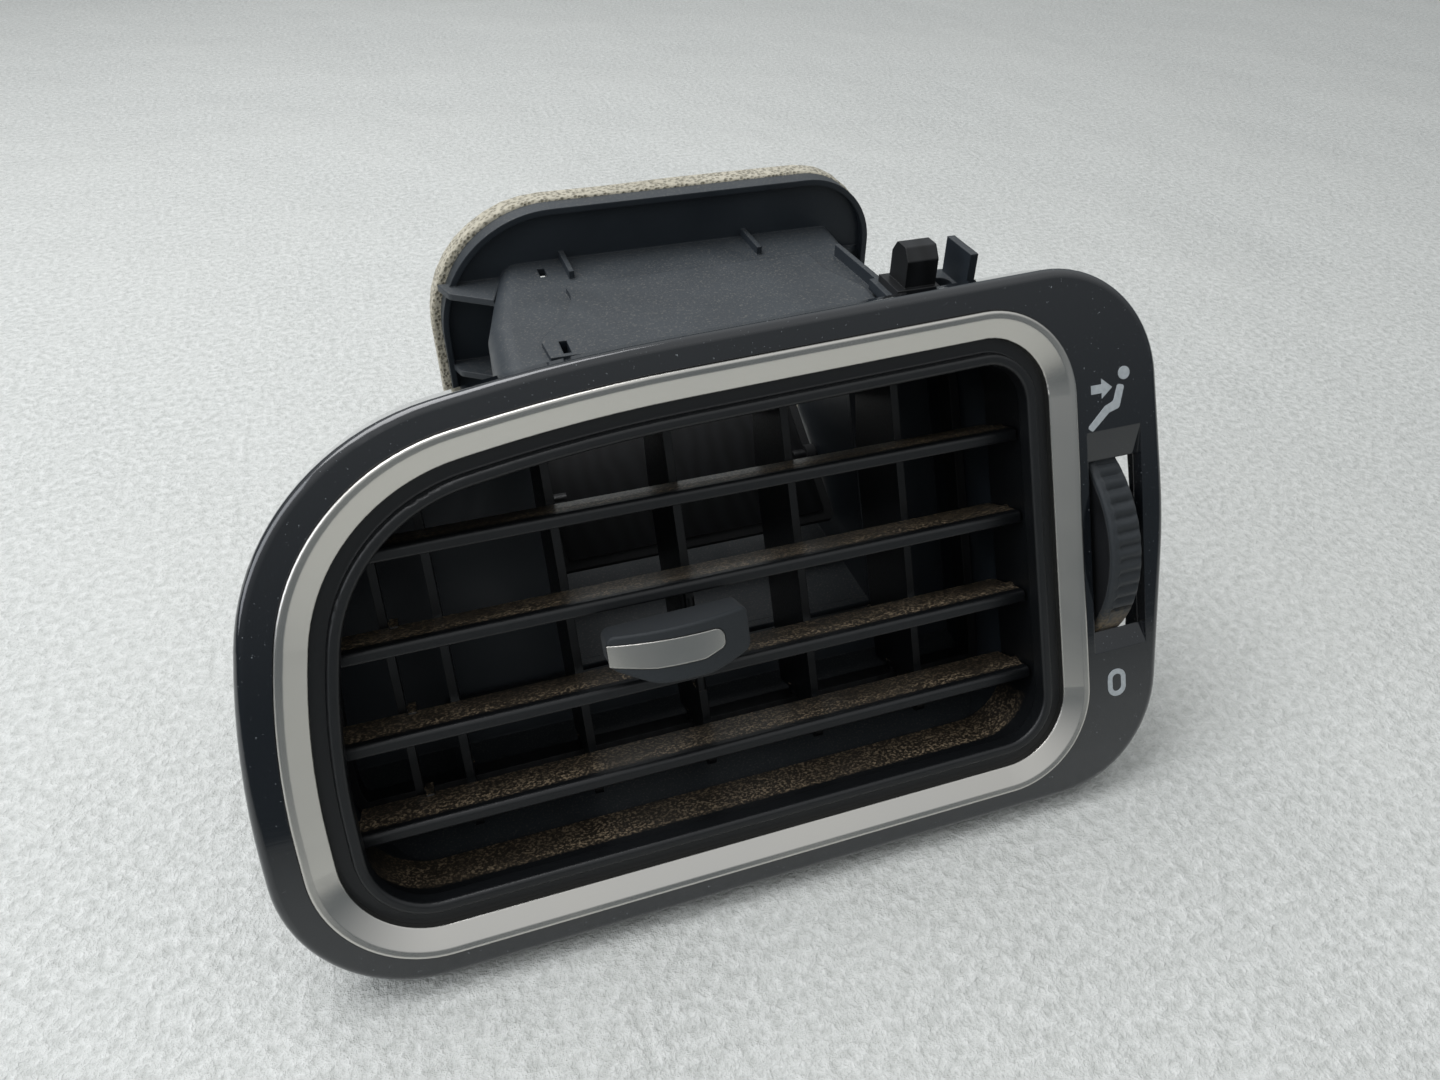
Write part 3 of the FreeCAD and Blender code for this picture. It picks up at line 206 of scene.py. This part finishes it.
def make_grained(name, base, rough, dust_code, dust_share, front=2.2 * MM):
    """PC/ABS with a spark-eroded grain of about 0.3 mm: matt black with a faint glitter, and tan
    dust lying on what faces up, behind the wiped front edge."""
    made, tree, shader, place = material(name, base, rough, IOR=1.5)
    grain = add(tree, "ShaderNodeTexNoise", {"Vector": place.outputs["Object"],
                                             "Scale": 1 / (0.45 * MM), "Detail": 3.0,
                                             "Roughness": 0.65})
    fine = speckle(tree, place, 0.3 * MM, 0.51, 0.61)
    patch = speckle(tree, place, 6.0 * MM, 0.2, 0.55)
    facing = along(tree, place, FACE_UP, 0.35, 0.85, output="Normal")
    behind = along(tree, place, FACE_IN, front * 0.75, front * 1.2, origin=FACE_POINT)
    lying = product(tree, facing, behind)
    dust = product(tree, product(tree, fine, patch), product(tree, lying, dust_share))
    film = blend(tree, product(tree, lying, 0.07), colour(base), colour(dust_code))
    tint = blend(tree, dust, film, colour(dust_code))
    shine = add(tree, "ShaderNodeMapRange", {"Value": grain.outputs["Fac"], "From Min": 0.3,
                                             "From Max": 0.7, "To Min": rough - 0.08,
                                             "To Max": rough + 0.1})
    tree.links.new(tint, shader.inputs["Base Color"])
    tree.links.new(shine.outputs["Result"], shader.inputs["Roughness"])
    relief(tree, shader, grain.outputs["Fac"], 0.02 * MM, 0.25 * MM)
    return made


def make_housing_pp():
    """Talc-filled polypropylene straight from the mould: blue-grey and half matt, with flow marks
    some centimetres long and a film of pale dust on what faces up."""
    made, tree, shader, place = material("moulded_grey_pp", "242a30", 0.46, IOR=1.49)
    flow = add(tree, "ShaderNodeTexNoise", {"Vector": place.outputs["Object"], "Scale": 38.0,
                                            "Detail": 5.0, "Distortion": 1.6})
    skin = add(tree, "ShaderNodeTexNoise", {"Vector": place.outputs["Object"],
                                            "Scale": 1 / (0.6 * MM), "Detail": 2.0})
    film = speckle(tree, place, 0.22 * MM, 0.55, 0.72)
    up = along(tree, place, Vector((0, 0, 1)), 0.5, 0.95, output="Normal")
    base = blend(tree, flow.outputs["Fac"], colour("1b2026"), colour("2b3238"))
    dusty = blend(tree, product(tree, up, 0.12), base, colour("6b6e6e"))
    specks = blend(tree, product(tree, film, product(tree, up, 0.2)), dusty, colour("a39d90"))
    shine = add(tree, "ShaderNodeMapRange", {"Value": flow.outputs["Fac"], "From Min": 0.3,
                                             "From Max": 0.7, "To Min": 0.38, "To Max": 0.58})
    tree.links.new(specks, shader.inputs["Base Color"])
    tree.links.new(shine.outputs["Result"], shader.inputs["Roughness"])
    both = add(tree, "ShaderNodeMath", {0: flow.outputs["Fac"],
                                        1: product(tree, skin.outputs["Fac"], 0.15)},
               operation="ADD").outputs[0]
    relief(tree, shader, both, 0.12 * MM, 0.4 * MM)
    return made


def make_soft_touch():
    """Soft-touch lacquer over a moulding: dark grey, velvety, with a grain too fine to feel and
    skin dust at the wheel's lower end."""
    made, tree, shader, place = material("soft_touch_lacquer", "23282c", 0.58, IOR=1.45)
    grain = add(tree, "ShaderNodeTexNoise", {"Vector": place.outputs["Object"],
                                             "Scale": 1 / (0.3 * MM), "Detail": 2.0})
    low = Vector(joints["wheel_turn"]["pos_m"])
    under = along(tree, place, -FACE_UP, 11 * MM, 17 * MM, origin=low)
    beside = along(tree, place, Vector((1, 0, 0)), 0.0, 1 * MM, origin=Vector((low.x - 4 * MM, 0, 0)))
    dust = product(tree, product(tree, under, beside), speckle(tree, place, 0.5 * MM, 0.35, 0.6))
    tint = blend(tree, product(tree, dust, 0.8), blend(tree, grain.outputs["Fac"], colour("1b1f22"),
                                                       colour("2a2f33")), colour("8d7a5c"))
    tree.links.new(tint, shader.inputs["Base Color"])
    shader.inputs["Sheen Weight"].default_value = 0.08
    relief(tree, shader, grain.outputs["Fac"], 0.006 * MM, 0.3 * MM)
    return made


def make_foam():
    """Open-cell polyurethane foam, cut from sheet: beige-grey, with cells about 0.8 mm across and deep little
    shadows painted as darker colour towards each cell's middle."""
    made, tree, shader, place = material("open_cell_foam", "a39d8c", 0.95, IOR=1.4)
    cells = add(tree, "ShaderNodeTexVoronoi", {"Vector": place.outputs["Object"],
                                               "Scale": 1 / (0.8 * MM)})
    shade = add(tree, "ShaderNodeTexNoise", {"Vector": place.outputs["Object"], "Scale": 90.0,
                                             "Detail": 4.0})
    pores = add(tree, "ShaderNodeMapRange", {"Value": cells.outputs["Distance"], "From Min": 0.1,
                                             "From Max": 0.6})
    # Painted shade: each cell's colour darkens towards its middle to stand in for the shadow inside the pore.
    tint = blend(tree, pores.outputs["Result"], colour("77715f"),
                 blend(tree, shade.outputs["Fac"], colour("a19b89"), colour("c2bcab")))
    tree.links.new(tint, shader.inputs["Base Color"])
    shader.inputs["Sheen Weight"].default_value = 0.2
    relief(tree, shader, pores.outputs["Result"], 0.3 * MM)
    return made


def make_acetal(name, dark, pale, rough, glow):
    """Acetal, injection moulded: waxy, with faint flow lines a few millimetres apart."""
    made, tree, shader, place = material(name, pale, rough, IOR=1.48)
    flow = add(tree, "ShaderNodeTexWave", {"Vector": place.outputs["Object"],
                                           "Scale": 0.3 / (4 * MM), "Distortion": 6.0,
                                           "Detail": 2.0})
    tree.links.new(blend(tree, flow.outputs["Fac"], colour(dark), colour(pale)),
                   shader.inputs["Base Color"])
    shader.inputs["Subsurface Weight"].default_value = glow
    shader.inputs["Subsurface Scale"].default_value = 1 * MM
    relief(tree, shader, flow.outputs["Fac"], 0.01 * MM)
    return made


def make_zinc_steel():
    """Steel with a bright zinc coat: grey metal with crystals about 1.5 mm across."""
    made, tree, shader, place = material("zinc_plated_steel", "a3a5a8", 0.34, metallic=1.0)
    spangle = add(tree, "ShaderNodeTexVoronoi", {"Vector": place.outputs["Object"],
                                                 "Scale": 1 / (1.5 * MM)})
    tree.links.new(blend(tree, spangle.outputs["Distance"], colour("8c8e92"), colour("b6b8ba")),
                   shader.inputs["Base Color"])
    relief(tree, shader, spangle.outputs["Distance"], 0.01 * MM)
    return made


def make_lip_rubber():
    """Thermoplastic rubber lip: charcoal, dry and matt, with a fine moulded grain."""
    made, tree, shader, place = material("lip_rubber", "1c1d1e", 0.8, IOR=1.5)
    grain = add(tree, "ShaderNodeTexNoise", {"Vector": place.outputs["Object"],
                                             "Scale": 1 / (0.5 * MM), "Detail": 3.0})
    tree.links.new(blend(tree, grain.outputs["Fac"], colour("161718"), colour("262728")),
                   shader.inputs["Base Color"])
    relief(tree, shader, grain.outputs["Fac"], 0.02 * MM)
    return made


def make_ink():
    """Pad-printed ink: pale grey, flat, a little thin where the pad lifted."""
    made, tree, shader, place = material("pad_printed_ink", "b4babd", 0.5, IOR=1.5)
    thin = add(tree, "ShaderNodeTexNoise", {"Vector": place.outputs["Object"],
                                            "Scale": 1 / (0.7 * MM), "Detail": 3.0})
    tree.links.new(blend(tree, thin.outputs["Fac"], colour("9aa1a5"), colour("c5cacc")),
                   shader.inputs["Base Color"])
    relief(tree, shader, thin.outputs["Fac"], 0.005 * MM, 0.1 * MM)
    return made


FINISHES = {
    "piano_black": make_gloss_abs(),
    "satin_silver": make_satin_plate(),
    "textured_black": make_grained("grained_black_abs", "0f1113", 0.36, "b09c80", 0.8),
    "housing_pp": make_housing_pp(),
    "mark_ink": make_ink(),
    "gasket_foam": make_foam(),
    "seal_foam": make_lip_rubber(),
    "spring_steel": make_zinc_steel(),
    "soft_touch": make_soft_touch(),
    "natural_pom": make_acetal("natural_acetal", "c9c5b8", "dcd9cf", 0.38, 0.15),
    "black_pom": make_acetal("black_acetal", "101112", "1b1c1e", 0.36, 0.0),
}
slots = {part["node"]: part["material_slot"] for part in frame["record"]["subparts"]}
for node, thing in frame["nodes"].items():
    for place in thing.material_slots:
        place.material = FINISHES[slots[node]]


# ---------------------------------------------------------------- pieces of their own

def finish_piece(bm, name, body, nodes, slot, smooth=35.0):
    """Turns a bmesh into a piece that rides on a body and stands for CAD nodes."""
    mesh = bpy.data.meshes.new(name)
    bm.to_mesh(mesh)
    bm.free()
    piece = bpy.data.objects.new(name, mesh)
    bpy.context.scene.collection.objects.link(piece)
    mesh.materials.append(FINISHES[slot])
    mesh.shade_smooth()
    mesh.set_sharp_from_angle(angle=math.radians(smooth))
    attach(piece, body)
    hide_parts(*nodes)
    return piece


def rounded_loop(bm, low, high, radii, y):
    """An upright rounded rectangle of edges; radii run from the low-left corner anticlockwise."""
    corners = [bm.verts.new((x, y, z)) for x, z in
               ((low.x, low.z), (high.x, low.z), (high.x, high.z), (low.x, high.z))]
    bm.faces.new(corners)
    for corner, radius in zip(corners, radii):
        bmesh.ops.bevel(bm, geom=[corner], offset=radius, segments=10, profile=0.5,
                        affect="VERTICES", material=-1)
    outline = [f for f in bm.faces if all(abs(v.co.y - y) < 1e-7 for v in f.verts)][-1]
    edges = list(outline.edges)
    bmesh.ops.delete(bm, geom=[outline], context="FACES_ONLY")
    return edges


# Corner radii of the foam ring from its low left corner anticlockwise, and how far its bore
# reaches above and below the flap shafts and past the ends of the flap lips.
GASKET_RADII = [17 * MM, 14 * MM, 15.5 * MM, 25 * MM]
BORE_PAST_SHAFT, BORE_PAST_LIP, BORE_RADIUS = 17.2 * MM, 1.1 * MM, 1.5 * MM


def make_gasket():
    """The foam ring glued to the back of the flange: cut edges, a little uneven."""
    low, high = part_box("flange_gasket")
    bm = bmesh.new()
    outer = rounded_loop(bm, low, high, GASKET_RADII, low.y)
    left, right = (corner.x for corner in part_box("damper_seal_upper"))
    floor, roof = (joints[f"flap_{name}_turn"]["pos_m"][2] for name in ("lower", "upper"))
    inner_low = Vector((left - BORE_PAST_LIP, 0, floor - BORE_PAST_SHAFT))
    inner_high = Vector((right + BORE_PAST_LIP, 0, roof + BORE_PAST_SHAFT))
    inner = rounded_loop(bm, inner_low, inner_high, [BORE_RADIUS] * 4, low.y)
    bmesh.ops.bridge_loops(bm, edges=outer + inner)
    bmesh.ops.triangulate(bm, faces=bm.faces[:])
    bmesh.ops.recalc_face_normals(bm, faces=bm.faces[:])
    made = bmesh.ops.extrude_face_region(bm, geom=bm.faces[:])
    moved = [v for v in made["geom"] if isinstance(v, bmesh.types.BMVert)]
    bmesh.ops.translate(bm, verts=moved, vec=(0, high.y - low.y, 0))
    bmesh.ops.recalc_face_normals(bm, faces=bm.faces[:])
    rim = [e for e in bm.edges if e.calc_face_angle(0.0) > 0.8
           and abs(e.verts[0].co.y - e.verts[1].co.y) < 1e-6]
    bmesh.ops.bevel(bm, geom=rim, offset=0.7 * MM, segments=3, profile=0.5, affect="EDGES",
                    material=-1)
    bmesh.ops.subdivide_edges(bm, edges=[e for e in bm.edges if e.calc_length() > 4 * MM], cuts=3,
                              use_grid_fill=True)
    bmesh.ops.triangulate(bm, faces=[f for f in bm.faces if len(f.verts) > 4])
    middle = (low + high) / 2
    for vertex in bm.verts:
        wave = noise.noise(vertex.co * 60) * 0.35 * MM + noise.noise(vertex.co * 320) * 0.18 * MM
        vertex.co += (middle - vertex.co).normalized() * (abs(wave) + 0.05 * MM)
    piece = finish_piece(bm, "gasket_foam_ring", "vent", ["flange_gasket"], "gasket_foam", 60.0)
    return piece


# Angles round the wheel in degrees: where the tread starts, how far it runs, where its ribs end
# and their step; then its inner and outer radius and the depth of a groove.
TREAD_START, TREAD_SPAN = 58.0, 194.0
RIB_END, RIB_STEP = 210.0, 6.6
TREAD_INNER, TREAD_OUTER, GROOVE = 22.8 * MM, 24.1 * MM, 0.75 * MM


def make_tread():
    """Soft tread of the thumbwheel: a band with rounded shoulders and cross ribs, smooth at its
    lower end and along its left edge."""
    low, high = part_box("thumbwheel_tread")
    pivot = Vector(joints["wheel_turn"]["pos_m"])
    inner, outer = TREAD_INNER, TREAD_OUTER
    width = high.x - low.x
    section = [(0.0, inner), (width, inner), (width, outer - 0.7 * MM),
               (width - 0.2 * MM, outer - 0.25 * MM), (width - 0.7 * MM, outer)]
    steps = 6
    section += [(width - 0.7 * MM - (width - 2.0 * MM) * n / steps, outer)
                for n in range(1, steps + 1)]
    section += [(1.2 * MM, outer - 0.15 * MM), (0.5 * MM, outer - 0.3 * MM),
                (0.1 * MM, outer - 0.7 * MM)]
    start = math.radians(TREAD_START)
    out = FACE_IN * math.cos(start) + FACE_UP * math.sin(start)
    bm = bmesh.new()
    verts = [bm.verts.new(Vector((low.x + x, pivot.y, pivot.z)) + out * radius)
             for x, radius in section]
    first = bm.faces.new(verts)
    bmesh.ops.spin(bm, geom=[first], cent=pivot, axis=(1, 0, 0), angle=math.radians(TREAD_SPAN),
                   steps=300, use_merge=False, use_duplicate=False)
    bmesh.ops.remove_doubles(bm, verts=bm.verts[:], dist=1e-7)
    last = math.radians(RIB_END)
    for vertex in bm.verts:
        away = vertex.co - pivot
        away.x = 0.0
        angle = math.atan2(away.dot(FACE_UP), away.dot(FACE_IN)) % (2 * math.pi)
        inset = min(vertex.co.x - low.x - 1.1 * MM, high.x - 0.15 * MM - vertex.co.x) / (0.6 * MM)
        share = max(0.0, min(1.0, inset))
        if away.length > outer - 0.8 * MM and share > 0.0:
            wave = 0.5 - 0.5 * math.cos((last - angle) / math.radians(RIB_STEP) * 2 * math.pi)
            if angle > last:
                wave = 0.75
            vertex.co -= away.normalized() * (GROOVE * share * (1 - wave ** 0.6))
    bmesh.ops.recalc_face_normals(bm, faces=bm.faces[:])
    return finish_piece(bm, "wheel_tread_ribbed", "thumbwheel", ["thumbwheel_tread"], "soft_touch")


make_gasket()
make_tread()


# ---------------------------------------------------------------- floor, light, camera

def make_floor():
    """A sheet of pale packing foam: small cells that catch the light, and slow waves."""
    mesh = bpy.data.meshes.new("floor")
    bm = bmesh.new()
    bmesh.ops.create_grid(bm, x_segments=1, y_segments=1, size=2.5)
    bm.to_mesh(mesh)
    bm.free()
    floor = bpy.data.objects.new("floor", mesh)
    bpy.context.scene.collection.objects.link(floor)
    made, tree, shader, place = material("pale_packing_foam", "cfd1ce", 0.42, IOR=1.45)
    cells = add(tree, "ShaderNodeTexNoise", {"Vector": place.outputs["Object"],
                                             "Scale": 1 / (2.2 * MM), "Detail": 4.0,
                                             "Roughness": 0.7})
    slow = add(tree, "ShaderNodeTexNoise", {"Vector": place.outputs["Object"], "Scale": 9.0,
                                            "Detail": 3.0})
    spots = add(tree, "ShaderNodeMapRange", {"Value": cells.outputs["Fac"], "From Min": 0.35,
                                             "From Max": 0.65})
    cell_tint = blend(tree, spots.outputs["Result"], colour("b6b8b4"), colour("dddedb"))
    tint = blend(tree, product(tree, slow.outputs["Fac"], 0.5), cell_tint, colour("d3d3ce"))
    tree.links.new(tint, shader.inputs["Base Color"])
    folds = add(tree, "ShaderNodeBump", {"Height": slow.outputs["Fac"], "Distance": 9 * MM})
    bump = add(tree, "ShaderNodeBump", {"Height": cells.outputs["Fac"], "Distance": 1.1 * MM,
                                        "Normal": folds.outputs[0]})
    tree.links.new(bump.outputs[0], shader.inputs["Normal"])
    mesh.materials.append(made)


def make_light(name, spot, target, width, depth, power, tint):
    """A soft rectangular lamp at a spot, turned to a target."""
    lamp = bpy.data.lights.new(name, "AREA")
    lamp.shape = "RECTANGLE"
    lamp.size, lamp.size_y = width, depth
    lamp.energy = power
    lamp.color = colour(tint)[:3]
    thing = bpy.data.objects.new(name, lamp)
    thing.location = spot
    thing.rotation_euler = (Vector(target) - Vector(spot)).to_track_quat("-Z", "Y").to_euler()
    bpy.context.scene.collection.objects.link(thing)


def make_world():
    """A room that is bright overhead and dim all round."""
    world = bpy.data.worlds.new("studio")
    world.use_nodes = True
    tree = world.node_tree
    tree.nodes.clear()
    place = add(tree, "ShaderNodeTexCoord")
    height = add(tree, "ShaderNodeSeparateXYZ", {0: place.outputs["Generated"]}).outputs["Z"]
    share = add(tree, "ShaderNodeMapRange", {"Value": height, "From Min": 0.1, "From Max": 0.75})
    sky = blend(tree, share.outputs["Result"], colour("686f74"), colour("eef1f3"))
    glow = add(tree, "ShaderNodeBackground", {"Color": sky, "Strength": 0.84})
    add(tree, "ShaderNodeOutputWorld", {"Surface": glow.outputs[0]})
    bpy.context.scene.world = world


def make_camera():
    """26 mm lens, looking down at the face from its upper left."""
    low, high = cad_box
    centre = Vector(((low.x + high.x) / 2, (low.y + high.y) / 2, low.z))
    lens = bpy.data.cameras.new("camera")
    lens.lens = 25.99
    lens.sensor_width = 36.0
    lens.clip_start = 0.01
    camera = bpy.data.objects.new("camera", lens)
    ahead = Vector((0.25489, 0.73856, -0.62414))
    across = Vector((0.94759, -0.31935, 0.00910))
    across = (across - ahead * across.dot(ahead)).normalized()
    turn = Matrix((across, across.cross(ahead) * -1, ahead * -1)).transposed()
    turn.col[1] = turn.col[2].cross(turn.col[0])
    camera.matrix_world = (Matrix.Translation(centre + Vector((-47.67, -153.72, 170.03)) * MM)
                           @ turn.to_4x4())
    bpy.context.scene.collection.objects.link(camera)
    bpy.context.scene.camera = camera


make_floor()
make_world()
make_light("ceiling_softbox", (-0.25, 0.25, 0.75), (0, 0, 0.04), 0.7, 0.5, 4.8, "fbfcff")
make_light("window_left", (-0.8, -0.1, 0.45), (0, 0, 0.04), 0.5, 0.6, 2.4, "f4f8ff")
make_camera()
bpy.context.scene.view_settings.view_transform = "Standard"
